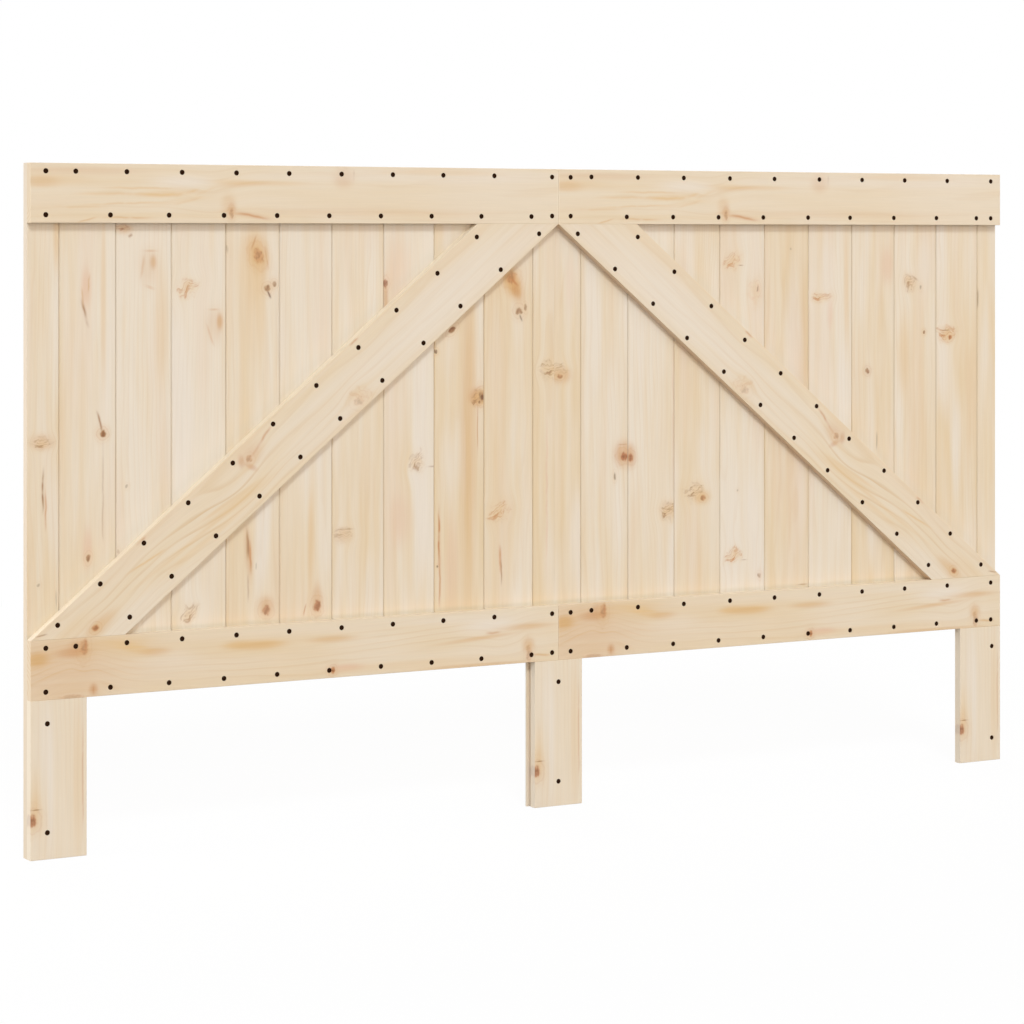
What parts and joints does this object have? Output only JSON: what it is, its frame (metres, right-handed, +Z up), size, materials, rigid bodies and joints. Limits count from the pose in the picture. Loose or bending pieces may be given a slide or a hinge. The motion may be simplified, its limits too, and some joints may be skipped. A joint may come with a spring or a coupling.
{
  "type": "bed headboard",
  "caption": "Free-standing plank headboard of upright tongue-and-groove pine boards between two rails, with a diagonal brace in each half, on three flat legs.",
  "frame": {"origin": "on the floor, at the middle of the width and of the depth", "axes": "+X to the right seen from the front, +Y from the front to the back, +Z up"},
  "size_m": [2.04, 0.032, 1.159],
  "materials": {
    "panel_board_pine": "bare planed knotty pine, matt",
    "rail_pine": "bare planed knotty pine, matt",
    "brace_pine": "bare planed knotty pine, matt",
    "leg_pine": "bare planed knotty pine, matt",
    "dowel_beech": "plain turned beech",
    "black_screw_steel": "black coated steel, satin"
  },
  "bodies": {
    "root": {"left_panel_board_01": "panel_board_pine", "left_panel_board_02": "panel_board_pine", "left_panel_board_03": "panel_board_pine", "left_panel_board_04": "panel_board_pine", "left_panel_board_05": "panel_board_pine", "left_panel_board_06": "panel_board_pine", "left_panel_board_07": "panel_board_pine", "left_panel_board_08": "panel_board_pine", "left_panel_board_09": "panel_board_pine", "left_panel_board_10": "panel_board_pine", "left_panel_board_11": "panel_board_pine", "right_panel_board_01": "panel_board_pine", "right_panel_board_02": "panel_board_pine", "right_panel_board_03": "panel_board_pine", "right_panel_board_04": "panel_board_pine", "right_panel_board_05": "panel_board_pine", "right_panel_board_06": "panel_board_pine", "right_panel_board_07": "panel_board_pine", "right_panel_board_08": "panel_board_pine", "right_panel_board_09": "panel_board_pine", "right_panel_board_10": "panel_board_pine", "right_panel_board_11": "panel_board_pine", "left_top_rail": "rail_pine", "left_bottom_rail": "rail_pine", "left_brace": "brace_pine", "right_top_rail": "rail_pine", "right_bottom_rail": "rail_pine", "right_brace": "brace_pine", "left_leg_front": "leg_pine", "centre_leg_front": "leg_pine", "right_leg_front": "leg_pine", "left_top_rail_screws": "black_screw_steel", "right_top_rail_screws": "black_screw_steel", "left_bottom_rail_screws": "black_screw_steel", "right_bottom_rail_screws": "black_screw_steel", "left_brace_screws": "black_screw_steel", "right_brace_screws": "black_screw_steel", "left_leg_screws": "black_screw_steel", "centre_leg_screws": "black_screw_steel", "right_leg_screws": "black_screw_steel", "top_rail_dowels": "dowel_beech", "bottom_rail_dowels": "dowel_beech"}
  },
  "joints": []
}
